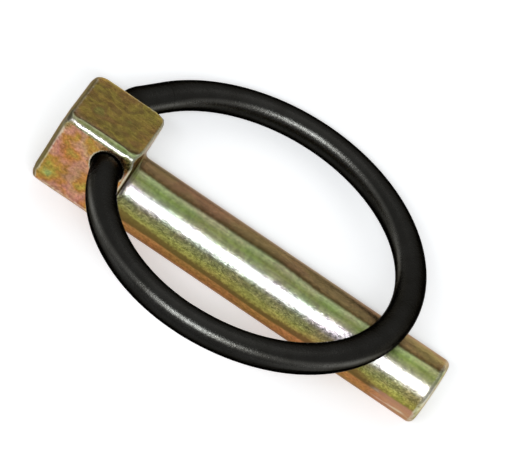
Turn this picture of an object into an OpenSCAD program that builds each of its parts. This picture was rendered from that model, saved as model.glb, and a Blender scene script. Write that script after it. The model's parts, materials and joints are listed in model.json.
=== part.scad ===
// Lynch pin: a forged pin with a square head, and a spring wire ring that
// snaps over the shaft which the pin is pushed through.
//
// Pin frame: the origin is where the shank's axis meets the head's shoulder,
// +X runs along the shank to its tip, and +Z is the side the closed ring lies on.
// The whole part is then rolled about the shank's axis until the shank and one
// long edge of the head both lie on a flat surface.

/* [Shank] */
// Diameter of the shank
shank_d = 10; // [8:0.5:14]
// Length of the shank, from the shoulder to the tip
shank_l = 50.3; // [45:0.1:75]
// Rounding of the edge round the flat tip
tip_round = 0.9; // [0.3:0.1:2]
// Fillet where the shank grows out of the shoulder
root_fillet = 0.4; // [0.2:0.1:1]

/* [Head] */
// Length of the head along the shank's axis
head_l = 11.6; // [10.5:0.1:18]
// Width of the head along the hinge holes
head_w = 12.4; // [11:0.1:18]
// Height of the head
head_h = 12.6; // [11.5:0.1:18]
// How far the middle of the head lies above the shank's axis
head_rise = 3.1; // [2.5:0.1:5]
// Rounding of the head's four long edges
long_edge_round = 1.2; // [0.5:0.1:2]
// Rounding of the edges round the head's free end
end_edge_round = 1.1; // [0.5:0.1:2]
// Rounding of the edges round the shoulder
shoulder_round = 0.35; // [0.2:0.05:0.6]
// How far the round keel under the head stands back from the shank's surface
keel_step = 0.25; // [0.2:0.05:0.6]

/* [Hinge holes] */
// Mouth of the near hole: distance behind the shoulder
near_hole_back = 3.1; // [3:0.05:4.5]
// Mouth of the near hole: height above the shank's axis
near_hole_up = 5.5; // [5:0.05:6.5]
// Mouth of the far hole: distance behind the shoulder
far_hole_back = 5.3; // [3:0.05:6.5]
// Mouth of the far hole: height above the shank's axis
far_hole_up = 6.1; // [5:0.05:6.5]
// Running clearance round the wire in its hole
hole_gap = 0.1; // [0.05:0.05:0.3]
// Space between the wire's end and the floor of its hole
hole_floor_gap = 0.6; // [0.3:0.1:1]

/* [Ring] */
// Diameter of the ring's wire
wire_d = 4.3; // [3:0.1:5.2]
// Radius of the ring, to the middle of the wire
ring_r = 23.6; // [20:0.1:29]
// Distance from the shoulder to the wire's middle where it crosses the shank
ring_reach = 40.9; // [35:0.1:46]
// Space between the closed ring and the shank
ring_gap = 0.6; // [0.3:0.05:2]
// Tightest bend of the wire, to its middle
end_bend_r = 4; // [3:0.1:6]
// Length of wire that stands in each hole
wire_in_hole = 3.4; // [2.5:0.1:4.5]
// Chamfer on the wire's cut ends
wire_chamfer = 0.3; // [0.1:0.1:0.6]

/* [Hidden] */
$fn = 96;

plated_gold = [0.66, 0.56, 0.25];
black_oxide = [0.06, 0.06, 0.06];

shank_r = shank_d / 2;
keel_r = shank_r - keel_step;
wire_r = wire_d / 2;
head_low = head_rise - head_h / 2;
head_high = head_rise + head_h / 2;
drill_point_angle = 118;
overrun = 1;        // how far a cutter passes a face, so that the cut is clean
joint_step = 0.02;  // how much thinner a sunk stretch of wire is than its neighbours
joint_lap = 0.2;    // how far a sunk stretch runs on into them

// The hinge line runs through the middles of the two mouths, and both holes are
// drilled along it. The mouths are not opposite each other, so the line is
// turned by hinge_skew about Z and climbs by hinge_climb.
hinge_skew = atan((far_hole_back - near_hole_back) / head_w);
hinge_climb = atan((far_hole_up - near_hole_up) * cos(hinge_skew) / head_w);
hinge_mid = [-(near_hole_back + far_hole_back) / 2, 0, (near_hole_up + far_hole_up) / 2];
hole_r = wire_r + hole_gap;
hole_depth = wire_in_hole + hole_floor_gap;
drill_cone_h = hole_r / tan(drill_point_angle / 2);

// Hinge frame: the origin is at hinge_mid, and +Y runs along the hinge line from
// the near hole to the far one. The ring is drawn in it with +X towards its far side.
face_y = head_w / 2 / cos(hinge_skew) / cos(hinge_climb);
end_y = face_y - wire_in_hole;
bend_y = face_y + wire_r * tan(hinge_skew);
ring_middle = (ring_reach - ring_r - hinge_mid[0]) * [cos(hinge_skew), -sin(hinge_skew)];

// The ring's plane climbs from the hinge line to pass over the shank.
crossing = ring_middle + ring_r * [cos(hinge_skew), -sin(hinge_skew)];
crossing_up = shank_r + ring_gap + wire_r;
ring_climb = asin((crossing_up - hinge_mid[2] - crossing[1] * sin(hinge_climb))
    / (crossing[0] * cos(hinge_climb)));

// Roll at which the head's lower far edge lies as low as the shank.
edge_y = head_w / 2 - long_edge_round;
edge_down = -head_low - long_edge_round;
rest_roll = asin((shank_r - long_edge_round) / norm([edge_y, edge_down])) - atan2(edge_down, edge_y);

// Radius of the bend that leaves the hinge line squarely at bend_y, for a ring
// with this middle. It is the one that runs straight into the ring's circle,
// unless that is too tight.
function bend_radius(middle) = ring_r > middle[0]
    ? max(end_bend_r, (ring_r ^ 2 - middle[0] ^ 2 - (bend_y - middle[1]) ^ 2) / (2 * (ring_r - middle[0])))
    : end_bend_r;

// Where a bend is turned from.
function bend_centre(middle) = [bend_radius(middle), bend_y];

// Length of the straight wire between a bend and the ring's circle.
function run_length(middle) =
    sqrt(max(0, norm(middle - bend_centre(middle)) ^ 2 - (ring_r - bend_radius(middle)) ^ 2));
function has_run(middle) = run_length(middle) > joint_lap;

// Direction from a bend's centre to the end of the bend, and from the ring's
// middle to the place where its circle ends.
function touch_angle(middle) =
    let (to_ring = middle - bend_centre(middle))
    let (lean = acos(min(1, (ring_r - bend_radius(middle)) / norm(to_ring))))
    atan2(to_ring[1], to_ring[0]) + 180 - lean;

// A rectangle from [x0, y0] to [x1, y1] with one radius at x0 and another at x1.
module rounded_plate(x0, x1, y0, y1, r0, r1) {
    translate([x0, y0 + r0]) square([x1 - r1 - x0, y1 - y0 - 2 * r0]);
    translate([x0 + r0, y0]) square([x1 - r1 - x0 - r0, y1 - y0]);
    translate([x1 - r1 - overrun / 10, y0 + r1]) square([r1 + overrun / 10, y1 - y0 - 2 * r1]);
    for (y = [y0 + r0, y1 - r0]) translate([x0 + r0, y]) circle(r0);
    for (y = [y0 + r1, y1 - r1]) translate([x1 - r1, y]) circle(r1);
}

// The forged block: an outline from each of three sides, each with its own
// roundings. A round keel carries the shank's line on under the block.
module head_block() {
    intersection() {
        translate([-head_l - overrun, 0, 0]) rotate([90, 0, 90])
            linear_extrude(head_l + 2 * overrun) {
                rounded_plate(-head_w / 2, head_w / 2, head_low, head_high, long_edge_round, long_edge_round);
                circle(keel_r);
            }
        translate([0, head_w / 2 + overrun, 0]) rotate([90, 0, 0])
            linear_extrude(head_w + 2 * overrun)
                rounded_plate(-head_l, 0, -keel_r, head_high, end_edge_round, shoulder_round);
        translate([0, 0, -shank_r - overrun])
            linear_extrude(head_high + shank_r + 2 * overrun)
                rounded_plate(-head_l, 0, -head_w / 2, head_w / 2, end_edge_round, shoulder_round);
    }
}

// The shank is turned from a half outline with a rounded tip. It has the keel's
// radius inside the head and as far as the root fillet.
module shank() {
    rotate([0, 90, 0]) rotate_extrude() {
        translate([0, -overrun]) square([keel_r, root_fillet + 2 * overrun]);
        translate([0, root_fillet]) square([shank_r, shank_l - tip_round - root_fillet]);
        translate([0, root_fillet]) square([shank_r - tip_round, shank_l - root_fillet]);
        translate([shank_r - tip_round, shank_l - tip_round]) intersection() {
            circle(tip_round);
            square(tip_round);
        }
    }
}

// The fillet round the shank's root, where the shoulder stands behind it.
module root_ring() {
    intersection() {
        rotate([0, 90, 0]) rotate_extrude() difference() {
            translate([shank_r - overrun, -overrun]) square([root_fillet + overrun, root_fillet + overrun]);
            translate([shank_r + root_fillet, root_fillet]) circle(root_fillet);
        }
        translate([-overrun / 2, -head_w / 2, head_low + shoulder_round])
            cube([overrun, head_w, head_h]);
    }
}

module hinge_frame() {
    translate(hinge_mid) rotate([0, 0, hinge_skew]) rotate([hinge_climb, 0, 0]) children();
}

// A blind drilled hole into one side of the head. side is -1 for the near side, 1 for the far one.
module hinge_hole(side) {
    rotate([-side * 90, 0, 0]) translate([0, 0, face_y - hole_depth]) {
        cylinder(r = hole_r, h = hole_depth + overrun);
        translate([0, 0, -drill_cone_h]) cylinder(r1 = 0, r2 = hole_r, h = drill_cone_h);
    }
}

module pin_body() {
    color(plated_gold) rest() difference() {
        union() {
            head_block();
            shank();
            root_ring();
        }
        hinge_frame() for (side = [-1, 1]) hinge_hole(side);
    }
}

// A bent stretch of wire round a centre, from one direction to another. A sunk
// stretch is a hair thinner and runs on into its neighbours, so that no two
// stretches only touch.
module wire_arc(centre, r, from, to, sunk = false) {
    lap = sunk ? joint_lap / r * 180 / PI : 0;
    translate([centre[0], centre[1], 0]) rotate([0, 0, from - lap])
        rotate_extrude(angle = to - from + 2 * lap)
            translate([r, 0]) circle(sunk ? wire_r - joint_step : wire_r);
}

// The straight stretch of wire that follows a bend, sunk into both its neighbours.
module wire_run(middle) {
    end = bend_centre(middle) + bend_radius(middle) * [cos(touch_angle(middle)), sin(touch_angle(middle))];
    translate([end[0], end[1], 0]) rotate([0, 90, touch_angle(middle) - 90])
        translate([0, 0, -joint_lap])
            cylinder(r = wire_r - joint_step, h = run_length(middle) + 2 * joint_lap);
}

// The straight end that turns in its hole.
module wire_end(sunk = false) {
    r = sunk ? wire_r - joint_step : wire_r;
    root = bend_y + (sunk ? joint_lap : 0);
    rotate([-90, 0, 0]) {
        translate([0, 0, end_y + wire_chamfer]) cylinder(r = r, h = root - end_y - wire_chamfer);
        translate([0, 0, end_y]) cylinder(r1 = r - wire_chamfer, r2 = r, h = wire_chamfer);
    }
}

// One end of the wire, from its hole to the ring's circle, for a ring with this middle.
module wire_tail(middle) {
    wire_end(sunk = has_run(middle));
    wire_arc(bend_centre(middle), bend_radius(middle), touch_angle(middle), 180, sunk = !has_run(middle));
    if (has_run(middle)) wire_run(middle);
}

module ring() {
    mirrored_middle = [ring_middle[0], -ring_middle[1]];
    color(black_oxide) rest() hinge_frame() rotate([0, -ring_climb, 0]) {
        wire_tail(ring_middle);
        mirror([0, 1, 0]) wire_tail(mirrored_middle);
        wire_arc(ring_middle, ring_r, -touch_angle(mirrored_middle), touch_angle(ring_middle));
    }
}

module rest() {
    rotate([-rest_roll, 0, 0]) children();
}

pin_body();
ring();
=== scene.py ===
"""Looks of the lynch pin: a yellow zinc plated pin with a square head and a black wire ring.

Everything is in metres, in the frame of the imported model: +X runs along the shank to its tip, the part lies
at rest on the shank and on one long edge of its head, and the head leans towards +Y.
"""

import json
from math import asin, atan2, cos, hypot, pi, radians, sin, tan

import bpy
import numpy as np
from mathutils import Matrix, Vector


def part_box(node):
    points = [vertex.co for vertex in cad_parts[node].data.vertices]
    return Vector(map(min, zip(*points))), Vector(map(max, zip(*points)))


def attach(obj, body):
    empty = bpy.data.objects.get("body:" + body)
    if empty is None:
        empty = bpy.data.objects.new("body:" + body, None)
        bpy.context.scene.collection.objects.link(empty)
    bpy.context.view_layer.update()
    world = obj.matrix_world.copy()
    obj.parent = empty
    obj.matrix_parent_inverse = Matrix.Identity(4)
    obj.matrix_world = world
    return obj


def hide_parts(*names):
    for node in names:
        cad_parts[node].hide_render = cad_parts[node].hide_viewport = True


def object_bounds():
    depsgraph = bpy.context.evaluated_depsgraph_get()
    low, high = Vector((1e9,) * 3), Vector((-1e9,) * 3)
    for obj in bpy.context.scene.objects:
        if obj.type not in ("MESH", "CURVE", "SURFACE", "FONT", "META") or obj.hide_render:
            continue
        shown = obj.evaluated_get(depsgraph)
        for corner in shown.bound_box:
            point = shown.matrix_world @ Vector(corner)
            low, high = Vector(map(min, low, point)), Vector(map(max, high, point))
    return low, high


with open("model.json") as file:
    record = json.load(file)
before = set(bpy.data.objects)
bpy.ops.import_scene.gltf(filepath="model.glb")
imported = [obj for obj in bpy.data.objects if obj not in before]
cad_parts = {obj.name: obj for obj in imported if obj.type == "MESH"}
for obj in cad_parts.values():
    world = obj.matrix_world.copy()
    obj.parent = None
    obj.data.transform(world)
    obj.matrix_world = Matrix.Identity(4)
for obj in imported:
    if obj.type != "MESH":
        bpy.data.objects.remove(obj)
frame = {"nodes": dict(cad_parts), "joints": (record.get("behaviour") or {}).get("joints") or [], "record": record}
cad_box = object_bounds()

MM = 0.001

# ---------------------------------------------------------------- sizes, in millimetres

SHANK_R = frame["record"]["mounts"][0]["dims"]["r_mm"]
SHANK_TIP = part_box("pin_body")[1].x / MM
TIP_ROUND = 0.9
HEAD_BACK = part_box("pin_body")[0].x / MM
HEAD_W = 12.4
HEAD_LOW, HEAD_HIGH = -3.2, 9.4
LONG_EDGE_ROUND = 1.2
END_EDGE_ROUND = 1.1
SHOULDER_ROUND = 0.35
KEEL_R = 4.75
NEAR_TOP_FLATTER = 1.4  # how much wider than high the rounding of the near top edge is
EDGE_SOFTNESS = 0.1
CORNER_SOFTNESS = 1.5  # how much softer the head is at its corners than along its edges
CORNER_REACH = 2.5
KEEL_BLEND = 0.3
SHANK_BURIED = 1  # how far inside the head the shank starts
LEAST_ROOT_BLEND = 0.02
ROOT_BLEND = 0.9  # between shank and head, where the head stands out beyond the shank
ROOT_BLEND_UP, ROOT_BLEND_RISE = 1, 0.8  # its start above the head's low side, and its growth over height
HOLE_R = 2.25
HOLE_DEPTH = 4.0
HOLE_RIM = 0.25
DRILL_FLANK = radians(90 - 118 / 2)  # of a 118 degree drill point

# The roll about the shank that brings the head's lower far edge down as low as the shank.
EDGE_Y, EDGE_DOWN = HEAD_W / 2 - LONG_EDGE_ROUND, -HEAD_LOW - LONG_EDGE_ROUND
REST_ROLL = asin((SHANK_R - LONG_EDGE_ROUND) / hypot(EDGE_Y, EDGE_DOWN)) - atan2(EDGE_DOWN, EDGE_Y)

# The hinge line, before the roll: a point midway between the head's sides, and its direction to the far side.
TO_REST = np.array(Matrix.Rotation(-REST_ROLL, 3, "X"))
HINGE_MIDDLE = np.array(frame["joints"][0]["pos_m"]) / MM @ TO_REST
HINGE_LINE = -np.array(frame["joints"][0]["axis"]) @ TO_REST
HINGE_FACE = HEAD_W / 2 / HINGE_LINE[1]

MESH_STEP = 0.2
ROOM_LOW, ROOM_HIGH = 0.55, 0.7  # between the pin and the ends of the grid that finds its surface
FORGING_UNEVENNESS = 0.035
WAVES_A_MM = 0.55


# ---------------------------------------------------------------- the pin's shape, as a field of distances

def rounded_plate(u, v, u0, u1, v0, v1, round0, round1, flatter=1):
    """Distance to a rectangle with corners of one radius at u0 and another at u1, this much flatter."""
    corner = np.where(u < (u0 + u1) / 2, round0, round1)
    du = (abs(u - (u0 + u1) / 2) - (u1 - u0) / 2) / flatter + corner
    dv = abs(v - (v0 + v1) / 2) - (v1 - v0) / 2 + corner
    return np.hypot(np.maximum(du, 0), np.maximum(dv, 0)) + np.minimum(np.maximum(du, dv), 0) - corner


def soft_max(a, b, width):
    """The larger of two distances, rounded over where they are within this width of each other."""
    share = np.clip(0.5 + 0.5 * (a - b) / width, 0, 1)
    return b + (a - b) * share + width * share * (1 - share)


def soft_min(a, b, width):
    return -soft_max(-a, -b, width)


def eased(distance, width=CORNER_REACH):
    """Rises from 0 to 1 over this width below a face, and stays at 1 outside it."""
    share = np.clip(1 + distance / width, 0, 1)
    return share * share * (3 - 2 * share)


WAVES = np.random.default_rng(4).normal(size=(10, 3))
WAVE_STARTS = np.random.default_rng(5).uniform(0, 6.28, 10)


def unevenness(p):
    """The slow waviness of a forged face, from 0 to 1."""
    waves = sum(np.sin(p @ (wave * WAVES_A_MM) + start) for wave, start in zip(WAVES, WAVE_STARTS))
    return 0.5 + 0.5 * np.tanh(waves / 3)


def head_field(p):
    """Distance of points from the forged head and the keel under it."""
    x, y, z = p[..., 0], p[..., 1], p[..., 2]
    flatter = np.where((y < 0) & (z > HEAD_HIGH / 2), NEAR_TOP_FLATTER, 1)
    end_on = rounded_plate(
        y, z, -HEAD_W / 2, HEAD_W / 2, HEAD_LOW, HEAD_HIGH, LONG_EDGE_ROUND, LONG_EDGE_ROUND, flatter
    )
    end_on = soft_min(end_on, np.hypot(y, z) - KEEL_R, KEEL_BLEND)
    side_on = rounded_plate(x, z, HEAD_BACK, 0, -KEEL_R, HEAD_HIGH, END_EDGE_ROUND, SHOULDER_ROUND)
    top_on = rounded_plate(x, y, HEAD_BACK, 0, -HEAD_W / 2, HEAD_W / 2, END_EDGE_ROUND, SHOULDER_ROUND)
    from_end = abs(x - HEAD_BACK / 2) + HEAD_BACK / 2
    from_side = abs(y) - HEAD_W / 2
    from_top = abs(z - (HEAD_LOW + HEAD_HIGH) / 2) - (HEAD_HIGH - HEAD_LOW) / 2
    softness = EDGE_SOFTNESS + CORNER_SOFTNESS * (eased(from_end) * eased(from_side) * eased(from_top))
    head = soft_max(soft_max(end_on, side_on, softness), top_on, softness)
    return head + FORGING_UNEVENNESS * unevenness(p)


def hole_field(p):
    """Distance of points from the two drilled hinge holes."""
    along = (p - HINGE_MIDDLE) @ HINGE_LINE
    across = np.sqrt(np.maximum(((p - HINGE_MIDDLE) ** 2).sum(-1) - along**2, 0))
    floor = HINGE_FACE - abs(along) - HOLE_DEPTH + (across - HOLE_R) * tan(DRILL_FLANK)
    return np.maximum(across - HOLE_R, floor * cos(DRILL_FLANK))


def pin_field(p):
    """Distance of points from the pin's surface, negative inside, before the pin is rolled to lie at rest."""
    x, y, z = p[..., 0], p[..., 1], p[..., 2]
    shank = rounded_plate(
        x, np.hypot(y, z), -SHANK_BURIED, SHANK_TIP, -SHANK_R, SHANK_R, TIP_ROUND, TIP_ROUND
    )
    root = ROOT_BLEND * (1 - eased(HEAD_LOW + ROOT_BLEND_UP - z, ROOT_BLEND_RISE))
    body = soft_min(head_field(p), shank, LEAST_ROOT_BLEND + root)
    return soft_max(body, -hole_field(p), HOLE_RIM)


def slope(field, p, reach=0.02):
    """Gradient of a field at points."""
    steps = np.eye(3) * reach
    return np.stack([(field(p + step) - field(p - step)) / (2 * reach) for step in steps], -1)


def on_surface(field, p, rounds=4):
    """Points moved along the slope until the field is nil there."""
    for _ in range(rounds):
        up = slope(field, p)
        p = p - (field(p) / np.maximum((up**2).sum(-1), 1e-6))[:, None] * up
    return p


def edge_crossings(value, grid, axis, step):
    """Which grid edges along an axis the surface crosses, where it does, and which of them start inside."""
    here = [slice(None)] * 3
    there = [slice(None)] * 3
    here[axis], there[axis] = slice(None, -1), slice(1, None)
    a, b = value[tuple(here)], value[tuple(there)]
    cross = (a < 0) != (b < 0)
    share = np.where(cross, a / np.where(cross, a - b, 1), 0)
    return cross, grid[tuple(here)] + share[..., None] * np.eye(3)[axis] * step, a < 0


def edges_of_cells(axis):
    """The four slices that give every grid cell its four edges along an axis."""
    others = [k for k in range(3) if k != axis]
    for shift in ((0, 0), (0, 1), (1, 0), (1, 1)):
        edge = [slice(None)] * 3
        for k, s in zip(others, shift):
            edge[k] = slice(1, None) if s else slice(None, -1)
        yield tuple(edge)


def quads_round_edges(cross, starts_inside, axis, index):
    """A quad through the four cells round each crossed edge along an axis, turned to face outwards."""
    b, c = (axis + 1) % 3, (axis + 2) % 3
    at = np.argwhere(cross)
    at = at[(at[:, b] > 0) & (at[:, c] > 0)]
    cells = [at - step_b * np.eye(3, dtype=int)[b] - step_c * np.eye(3, dtype=int)[c]
             for step_b, step_c in ((1, 1), (0, 1), (0, 0), (1, 0))]
    quad = np.stack([index[tuple(cell.T)] for cell in cells], -1)
    return np.where(starts_inside[tuple(at.T)][:, None], quad, quad[:, ::-1])


def surface_net(field, low, high, step):
    """Points and outward quads of a field's zero surface, with a point in each grid cell that it crosses."""
    axes = [np.arange(a, b, step) for a, b in zip(low, high)]
    grid = np.stack(np.meshgrid(*axes, indexing="ij"), -1)
    value = field(grid)
    total = np.zeros([n - 1 for n in value.shape] + [3])
    count = np.zeros(total.shape[:3])
    crossings = [edge_crossings(value, grid, axis, step) for axis in range(3)]
    for axis, (cross, place, _) in enumerate(crossings):
        for edge in edges_of_cells(axis):
            total += np.where(cross[edge][..., None], place[edge], 0)
            count += cross[edge]
    used = count > 0
    index = np.full(used.shape, -1)
    index[used] = np.arange(used.sum())
    quads = [quads_round_edges(cross, starts_inside, axis, index)
             for axis, (cross, _, starts_inside) in enumerate(crossings)]
    return total[used] / count[used][:, None], np.concatenate(quads)


def relaxed(field, points, quads, rounds=4):
    """The same points spread more evenly over the surface."""
    ends = np.concatenate([quads, np.roll(quads, 1, 1)], 0)
    for _ in range(rounds):
        total = np.zeros_like(points)
        count = np.zeros(len(points))
        for a, b in ((0, 1), (1, 0), (2, 3), (3, 2)):
            np.add.at(total, ends[:, a], points[ends[:, b]])
            np.add.at(count, ends[:, a], 1)
        points = on_surface(field, 0.5 * points + 0.5 * total / count[:, None], 2)
    return points


def convexity(field, points, reach=0.12):
    """How sharply the surface bends at points: over 0 on a ridge, under 0 in a crevice."""
    sides = (*np.eye(3), *-np.eye(3))
    return (sum(field(points + side * reach) for side in sides) - 6 * field(points)) / reach**2


def make_pin():
    low = (HEAD_BACK - ROOM_LOW, -HEAD_W / 2 - ROOM_LOW, -SHANK_R - ROOM_LOW)
    high = (SHANK_TIP + ROOM_HIGH, HEAD_W / 2 + ROOM_HIGH, HEAD_HIGH + ROOM_HIGH)
    points, quads = surface_net(pin_field, low, high, MESH_STEP)
    points = relaxed(pin_field, on_surface(pin_field, points), quads)
    normals = slope(pin_field, points)
    normals /= np.linalg.norm(normals, axis=1)[:, None]
    mesh = bpy.data.meshes.new("pin")
    mesh.from_pydata((points @ TO_REST.T * MM).tolist(), [], quads.tolist())
    mesh.shade_smooth()
    mesh.normals_split_custom_set_from_vertices((normals @ TO_REST.T).tolist())
    bend = convexity(pin_field, points).astype(np.float32)
    mesh.attributes.new("convexity", "FLOAT", "POINT").data.foreach_set("value", bend)
    pin = bpy.data.objects.new("plated_pin", mesh)
    bpy.context.collection.objects.link(pin)
    return pin


# ---------------------------------------------------------------- node helpers

def node(tree, kind, settings=None, **inputs):
    """Adds a shader node. An input is a socket to link or a value to set."""
    made = tree.nodes.new("ShaderNode" + kind)
    for name, value in (settings or {}).items():
        setattr(made, name, value)
    for name, value in inputs.items():
        put(tree, made.inputs[name.replace("_", " ")], value)
    return made


def put(tree, socket, value):
    if isinstance(value, bpy.types.NodeSocket):
        tree.links.new(value, socket)
    else:
        socket.default_value = value


def math(tree, operation, *values):
    made = node(tree, "Math", {"operation": operation})
    for socket, value in zip(made.inputs, values):
        put(tree, socket, value)
    return made.outputs[0]


def mix(tree, share, a, b, blend="MIX"):
    """Mixes two colours."""
    made = node(tree, "Mix", {"data_type": "RGBA", "blend_type": blend})
    for socket, value in zip((made.inputs[0], made.inputs[6], made.inputs[7]), (share, a, b)):
        put(tree, socket, value)
    return made.outputs[2]


def tinted(tree, colour, tint):
    return mix(tree, 1.0, colour, tint, "MULTIPLY")


def coated(tree, colour, coat, share, most):
    """Lays a coat over a colour where the share is 1, never thicker than this most."""
    return mix(tree, math(tree, "MULTIPLY", share, most), colour, (*coat, 1))


def ramp(tree, value, stops, smooth=True):
    """Colours or greys along a value from 0 to 1."""
    made = node(tree, "ValToRGB", Fac=value)
    made.color_ramp.interpolation = "EASE" if smooth else "LINEAR"
    elements = made.color_ramp.elements
    while len(elements) < len(stops):
        elements.new(1)
    for element, (place, colour) in zip(elements, stops):
        element.position = place
        element.color = (*colour, 1) if hasattr(colour, "__len__") else (colour, colour, colour, 1)
    return made.outputs[0]


def ramp_along(tree, length, stops):
    """Greys along a length, with the stops in millimetres from 0 to 100."""
    share = math(tree, "MULTIPLY", length, 1 / (100 * MM))
    return ramp(tree, share, [(at / 100, grey) for at, grey in stops])


def noise(tree, place, scale, stretch=(1, 1, 1), detail=2.0, rough=0.5):
    """Noise with features about 1/scale millimetres across, longer along an axis whose stretch is under 1."""
    mapped = node(tree, "Mapping", Vector=place)
    mapped.inputs["Scale"].default_value = [s / MM * scale for s in stretch]
    made = node(tree, "TexNoise", Vector=mapped.outputs[0], Scale=1.0, Detail=detail, Roughness=rough)
    return made.outputs[0]


def new_material(name):
    material = bpy.data.materials.new(name)
    material.use_nodes = True
    return material, material.node_tree, material.node_tree.nodes["Principled BSDF"]


# ---------------------------------------------------------------- materials

# What the plated steel reflects, as linear red, green and blue.
ROSE = (0.46, 0.25, 0.13)
COPPER = (0.39, 0.19, 0.065)
# the dark colour of painted reflections of shade, low and high on the shank
DARK_REFLECTION = (0.13, 0.08, 0.025)
BRONZE = (0.25, 0.19, 0.05)
RUSSET = (0.34, 0.23, 0.13)
TAN = (0.43, 0.28, 0.14)
OLIVE = (0.35, 0.31, 0.09)
STRAW = (0.55, 0.50, 0.24)
# a painted highlight: the pale colour laid where the key light reflects on the shank
HIGHLIGHT_SILVER = (0.62, 0.61, 0.56)
MINT = (0.46, 0.50, 0.27)
LEAF = (0.30, 0.37, 0.11)
PINK = (0.46, 0.22, 0.145)
ORANGE = (0.43, 0.20, 0.05)
LEMON = (0.40, 0.30, 0.06)
MUSTARD = (0.47, 0.34, 0.09)
BROWN = (0.35, 0.23, 0.08)
SCUFF = (0.68, 0.52, 0.42)
GREY_GREEN = (0.56, 0.57, 0.44)
DARK_OLIVE = (0.10, 0.08, 0.035)

UP_AND_FAR = (0, 0.864, 0.503)  # square to the shank, 30 degrees up from +Y


def round_the_shank(tree, coords):
    """How far a surface faces up and towards +Y, from -1 to 1."""
    facing = node(tree, "VectorMath", {"operation": "DOT_PRODUCT"})
    put(tree, facing.inputs[0], coords.outputs["Normal"])
    put(tree, facing.inputs[1], UP_AND_FAR)
    return facing.outputs["Value"]


def from_0_to_1(tree, facing):
    return math(tree, "MULTIPLY_ADD", facing, 0.5, 0.5)


def film_place(tree, place, facing, speckle):
    """Where on the film's ramp a spot is: the way it faces, with a slow drift and a ragged edge."""
    drift = noise(tree, place, 0.16, (0.35, 1, 1), detail=3)
    around = math(tree, "ADD", from_0_to_1(tree, facing), math(tree, "MULTIPLY_ADD", drift, 0.14, -0.07))
    return math(tree, "ADD", around, math(tree, "MULTIPLY_ADD", speckle, 0.06, -0.03))


def shank_film_and_reflections(tree, around):
    """The colours from the shank's underside, over its near side, to its far side: the film's own colours, with a
    silver painted highlight where the key light reflects and two dark umber bands of painted reflection.
    """
    return ramp(tree, around, (
        (0.02, COPPER), (0.11, COPPER), (0.135, DARK_REFLECTION), (0.16, DARK_REFLECTION), (0.20, BRONZE), (0.27, OLIVE),
        (0.36, STRAW), (0.42, HIGHLIGHT_SILVER), (0.55, HIGHLIGHT_SILVER), (0.61, MINT), (0.69, LEAF), (0.78, MINT),
        (0.82, DARK_REFLECTION), (0.87, TAN), (0.93, TAN), (0.98, RUSSET),
    ), smooth=False)


def head_film_and_reflections(tree, place, along, facing, lengthwise, film):
    """Rosy patches on the head's near side, and brown and gold ones on its top and on the pin's end faces. The
    darker, browner top against the rosier near side is partly painted reflection.
    """
    patches = noise(tree, place, 0.30, detail=2.5, rough=0.5)
    near_side = ramp(tree, patches, (
        (0.24, LEAF), (0.31, LEMON), (0.40, ORANGE), (0.50, PINK), (0.58, ROSE), (0.66, ORANGE),
        (0.76, LEMON),
    ), smooth=False)
    top_side = ramp(tree, patches, (
        (0.28, OLIVE), (0.40, BROWN), (0.50, MUSTARD), (0.58, BROWN), (0.70, MUSTARD),
    ))
    # partly painted reflection: the near and the top faces get different colours by the way they face
    sides = mix(tree, math(tree, "GREATER_THAN", facing, 0.0), near_side, top_side)
    top_faces = ramp(tree, facing, ((0.70, 0.0), (0.80, 1.0)), smooth=False)
    near_faces = ramp(tree, math(tree, "MULTIPLY_ADD", facing, 1.0, 1.0), ((0.42, 1.0), (0.60, 0.0)))
    on_head = math(tree, "LESS_THAN", along, 0.0)
    head_faces = math(tree, "MULTIPLY", on_head, math(tree, "MAXIMUM", top_faces, near_faces))
    film = mix(tree, head_faces, film, sides)
    end_faces = ramp(tree, math(tree, "ABSOLUTE", lengthwise), ((0.70, 0.0), (0.90, 1.0)))
    return mix(tree, end_faces, film, tinted(tree, top_side, (0.8, 0.8, 0.8, 1)))


def mottled(tree, place, facing, streaks, speckle, film):
    """Drawn streaks, blotches, and speckle that is strongest on the low near side."""
    blotches = noise(tree, place, 1.0, detail=3, rough=0.7)
    film = tinted(tree, film, ramp(tree, streaks, ((0.30, 0.86), (0.70, 1.10))))
    film = tinted(tree, film, ramp(tree, blotches, ((0.35, 0.84), (0.65, 1.10))))
    low_near_side = ramp(tree, facing, ((0.05, 1.0), (0.25, 0.4)))
    speckled = tinted(tree, film, ramp(tree, speckle, ((0.35, 0.68), (0.62, 1.16))))
    return mix(tree, low_near_side, film, speckled)


BOW_MIDDLE = 22 * MM
BOW_LOW = 0.115  # on the film's ramp, like the two below
BOW_WIDTH, BOW_WIDENING = 0.07, 0.09


def painted_reflection_bow(tree, along, around, film):
    """A painted dark reflection of the ring and of the shade beside the shank: a band low on its near side, narrow
    in its middle and wide at both ends.
    """
    bow = math(tree, "POWER", math(tree, "MULTIPLY_ADD", along, 1 / BOW_MIDDLE, -1.0), 2.0)
    width = math(tree, "MULTIPLY_ADD", bow, BOW_WIDENING, BOW_WIDTH)
    across = math(tree, "DIVIDE", math(tree, "ADD", around, -BOW_LOW), width)
    band = ramp(tree, across, ((0.0, 0.0), (0.15, 1.0), (0.75, 1.0), (1.0, 0.0)))
    on_shank = ramp_along(tree, along, ((0, 0.0), (1, 1.0), (40, 1.0), (43, 0.0)))
    return coated(tree, film, DARK_REFLECTION, math(tree, "MULTIPLY", band, on_shank), 0.8)


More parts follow.
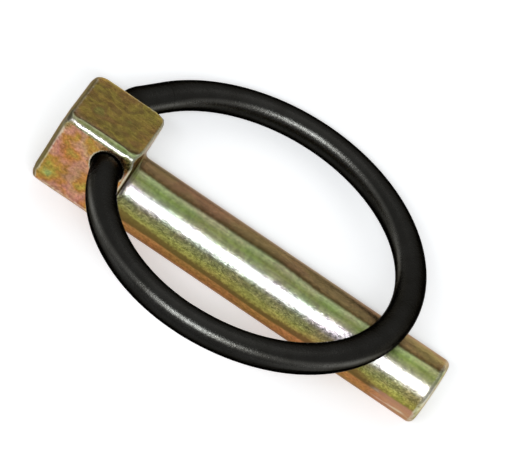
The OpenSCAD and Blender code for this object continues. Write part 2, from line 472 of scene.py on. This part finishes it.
def tip_film(tree, place, along, around, film):
    """A paler tip, pink and scuffed underneath."""
    tip = ramp_along(tree, along, ((42, 0.0), (46, 1.0)))
    low_side = ramp(tree, around, ((0.16, 1.0), (0.20, 0.0)))
    scuffs = ramp(tree, noise(tree, place, 1.2, (0.15, 1, 1), detail=3), ((0.52, 0.0), (0.62, 1.0)))
    underneath = mix(tree, scuffs, (*PINK, 1), (*SCUFF, 1))
    paler = mix(tree, low_side, tinted(tree, film, (1.2, 1.3, 1.05, 1)), underneath)
    return mix(tree, math(tree, "MULTIPLY", tip, 0.8), film, paler)


def blushed(tree, place, film):
    """Slow changes between a pinker and a greener film."""
    blush = noise(tree, place, 0.22, (0.5, 1, 1), detail=3, rough=0.6)
    return tinted(tree, film, ramp(tree, blush, ((0.35, (1.06, 0.93, 1.04)), (0.62, (0.94, 1.05, 0.94)))))


def worn_and_darkened(tree, lengthwise, speckle, film):
    """Film rubbed off the edges, and darker on the head's rounded back edges and in the crevices."""
    bend = node(tree, "Attribute", {"attribute_name": "convexity"}).outputs["Fac"]
    ragged = math(tree, "MULTIPLY_ADD", speckle, 1.6, -1.1)
    worn = math(tree, "ADD", math(tree, "MULTIPLY", bend, 0.5), ragged)
    film = coated(tree, film, GREY_GREEN, ramp(tree, worn, ((0.0, 0.0), (0.5, 1.0))), 0.6)
    backwards = math(tree, "MULTIPLY", lengthwise, -1.0)
    # darker on the head's rounded back edges, which face towards -X
    back_edges = ramp(tree, backwards, ((0.20, 0.0), (0.50, 1.0), (0.90, 1.0), (0.99, 0.3)))
    film = coated(tree, film, DARK_OLIVE, back_edges, 0.85)
    # darker in the crevices
    crevice = ramp(tree, math(tree, "MULTIPLY", bend, -0.5), ((0.1, 0.0), (0.6, 1.0)))
    return coated(tree, film, DARK_OLIVE, crevice, 0.6)


def plated_steel():
    """Yellow zinc plate. Its colour changes round the shank with the way a surface faces, partly from the film's
    thickness and partly as a painted highlight and painted reflections, and in patches.
    """
    material, tree, shader = new_material("yellow_zinc_plate")
    coords = node(tree, "TexCoord")
    place = coords.outputs["Object"]
    along = node(tree, "SeparateXYZ", Vector=place).outputs["X"]
    lengthwise = node(tree, "SeparateXYZ", Vector=coords.outputs["Normal"]).outputs["X"]
    facing = round_the_shank(tree, coords)
    streaks = noise(tree, place, 1.6, (0.12, 1, 1), detail=4, rough=0.6)
    speckle = noise(tree, place, 2.4, detail=4, rough=0.75)
    around = film_place(tree, place, facing, speckle)

    film = head_film_and_reflections(tree, place, along, facing, lengthwise, shank_film_and_reflections(tree, around))
    film = mottled(tree, place, facing, streaks, speckle, film)
    film = painted_reflection_bow(tree, along, around, film)
    film = tip_film(tree, place, along, around, film)
    film = blushed(tree, place, film)
    film = worn_and_darkened(tree, lengthwise, speckle, film)

    put(tree, shader.inputs["Metallic"], 1.0)
    put(tree, shader.inputs["Specular Tint"], (0.68, 0.56, 0.46, 1))
    put(tree, shader.inputs["Base Color"], film)
    put(tree, shader.inputs["Roughness"], math(tree, "MULTIPLY_ADD", speckle, 0.20, 0.12))
    height = math(tree, "ADD", speckle, math(tree, "MULTIPLY", streaks, 0.5))
    bump = node(tree, "Bump", Height=height, Strength=1.0, Distance=0.045 * MM)
    put(tree, shader.inputs["Normal"], bump.outputs[0])
    return material


def black_wire():
    """Black oxide on drawn spring wire, lightly oiled, with a painted highlight where it faces up and towards -Y,
    and painted shade where it faces down and towards -Y.
    """
    material, tree, shader = new_material("black_wire")
    coords = node(tree, "TexCoord")
    place = coords.outputs["Object"]
    patches = noise(tree, place, 0.35, detail=3)
    grain = noise(tree, place, 2.4, detail=4, rough=0.7)
    around = from_0_to_1(tree, round_the_shank(tree, coords))
    oxide = mix(tree, patches, (0.080, 0.077, 0.066, 1), (0.150, 0.148, 0.138, 1))
    # painted highlight and painted shade: the oxide paler where the wire faces up and towards -Y, darker where it
    # faces down
    paler = ramp(tree, around, ((0.24, 0.14), (0.36, 0.36), (0.48, 1.0), (0.60, 0.34)))
    put(tree, shader.inputs["Metallic"], 1.0)
    put(tree, shader.inputs["Specular Tint"], (0.12, 0.10, 0.08, 1))
    put(tree, shader.inputs["Base Color"], tinted(tree, oxide, paler))
    put(tree, shader.inputs["Roughness"], math(tree, "MULTIPLY_ADD", grain, 0.34, 0.08))
    bump = node(tree, "Bump", Height=grain, Strength=1.0, Distance=0.050 * MM)
    put(tree, shader.inputs["Normal"], bump.outputs[0])
    return material


# ---------------------------------------------------------------- stage, light and camera

FLOOR_Z = cad_box[0].z
PART_MIDDLE = (cad_box[0] + cad_box[1]) / 2
FLOOR_SIZE = 3


def make_floor():
    bpy.ops.mesh.primitive_plane_add(size=FLOOR_SIZE, location=(PART_MIDDLE.x, PART_MIDDLE.y, FLOOR_Z))
    floor = bpy.context.object
    floor.name = "floor"
    material, tree, shader = new_material("pale_floor")
    put(tree, shader.inputs["Base Color"], (0.96, 0.96, 0.96, 1))
    put(tree, shader.inputs["Roughness"], 0.9)
    put(tree, shader.inputs["Specular IOR Level"], 0.1)
    put(tree, shader.inputs["Emission Color"], (1, 1, 1, 1))
    put(tree, shader.inputs["Emission Strength"], 0.32)
    floor.data.materials.append(material)


def softbox(name, elevation, distance, width, height, radiance):
    """A soft light aimed at the part. Its elevation is measured from -Y over the top."""
    light = bpy.data.lights.new(name, "AREA")
    light.shape = "RECTANGLE"
    light.size, light.size_y = width, height
    light.energy = radiance * width * height * pi
    lamp = bpy.data.objects.new(name, light)
    back = Vector((0, -cos(radians(elevation)), sin(radians(elevation))))
    lamp.location = PART_MIDDLE + back * distance
    lamp.rotation_euler = back.to_track_quat("Z", "Y").to_euler()
    bpy.context.collection.objects.link(lamp)
    return lamp


def make_lights():
    softbox("key", elevation=53, distance=0.9, width=0.9, height=0.28, radiance=2.6)
    core = softbox("key_core", elevation=57.5, distance=0.88, width=0.5, height=0.075, radiance=20)
    core.data.color = (0.86, 0.93, 1.0)
    softbox("over", elevation=111, distance=0.9, width=0.9, height=0.72, radiance=0.25)
    softbox("over_edge", elevation=127, distance=0.85, width=0.9, height=0.10, radiance=0.6)
    world = bpy.data.worlds.new("studio")
    world.use_nodes = True
    world.node_tree.nodes["Background"].inputs[0].default_value = (0.4, 0.4, 0.4, 1)
    bpy.context.scene.world = world


# Where the camera looks from, in degrees, what it looks at, and how long its lens is on its sensor.
VIEW_AZIMUTH, VIEW_ELEVATION, VIEW_ROLL = -0.344, 59.830, 34.380
VIEW_AIM = Vector((19.322, 4.212, 2.446)) * MM
VIEW_DISTANCE = 0.6824
VIEW_LENS, SENSOR_W = 345.5, 36


def make_camera():
    camera = bpy.data.objects.new("camera", bpy.data.cameras.new("camera"))
    bpy.context.collection.objects.link(camera)
    camera.data.sensor_width = SENSOR_W
    camera.data.lens = VIEW_LENS
    a, e = radians(VIEW_AZIMUTH), radians(VIEW_ELEVATION)
    back = Vector((sin(a) * cos(e), -cos(a) * cos(e), sin(e)))
    right = Vector((cos(a), sin(a), 0))
    level = Matrix((right, back.cross(right), back)).transposed()
    camera.matrix_world = (
        Matrix.Translation(VIEW_AIM + back * VIEW_DISTANCE)
        @ (level @ Matrix.Rotation(radians(VIEW_ROLL), 3, "Z")).to_4x4()
    )
    camera.data.clip_start, camera.data.clip_end = 0.01, 10
    bpy.context.scene.camera = camera


# ---------------------------------------------------------------- the scene

bpy.context.scene.view_settings.view_transform = "Standard"
make_camera()
make_floor()
make_lights()

pin = make_pin()
pin.data.materials.append(plated_steel())
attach(pin, "pin")
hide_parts("pin_body")

ring = frame["nodes"]["ring"]
ring.material_slots[0].material = black_wire()
